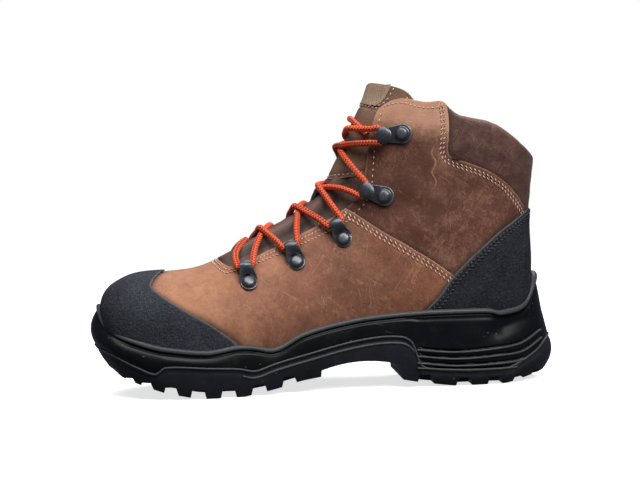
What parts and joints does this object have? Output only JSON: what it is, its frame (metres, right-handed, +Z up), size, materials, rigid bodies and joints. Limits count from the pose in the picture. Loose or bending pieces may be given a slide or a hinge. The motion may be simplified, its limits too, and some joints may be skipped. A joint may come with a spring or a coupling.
{
  "type": "hunting boot",
  "caption": "Ankle-high lace-up leather boot with a lugged rubber sole, a moulded midsole rim, a toe guard and a heel guard, for the right foot.",
  "frame": {"origin": "on the floor, under the middle of the boot's bounding box", "axes": "toe points to -X, heel to +X, inner (big-toe) side faces -Y, +Z up"},
  "size_m": [0.309, 0.1159, 0.2005],
  "materials": {
    "outsole": "matt black lugged rubber",
    "midsole": "glossy black moulded polyurethane",
    "lining": "dark textile footbed",
    "leather": "brown nubuck, waxed and lightly scuffed",
    "guard": "black abrasion-proof coated fabric",
    "dark_leather": "dark brown padded leather",
    "metal": "gunmetal coated steel",
    "lace": "round braided orange cord with dark flecks"
  },
  "bodies": {
    "root": {"outsole": "outsole", "midsole": "midsole", "insole": "lining", "upper": "leather", "toe_cap": "guard", "heel_counter": "guard", "tongue": "dark_leather", "lace_loop_inner_1": "metal", "lace_loop_inner_2": "metal", "lace_loop_inner_3": "metal", "lace_hook_inner_4": "metal", "lace_hook_inner_5": "metal", "lace_loop_outer_1": "metal", "lace_loop_outer_2": "metal", "lace_loop_outer_3": "metal", "lace_hook_outer_4": "metal", "lace_hook_outer_5": "metal", "lace_bar": "lace", "lace_crossing_1": "lace", "lace_crossing_2": "lace", "lace_crossing_3": "lace", "lace_crossing_4": "lace", "lace_crossing_5": "lace"}
  },
  "joints": []
}
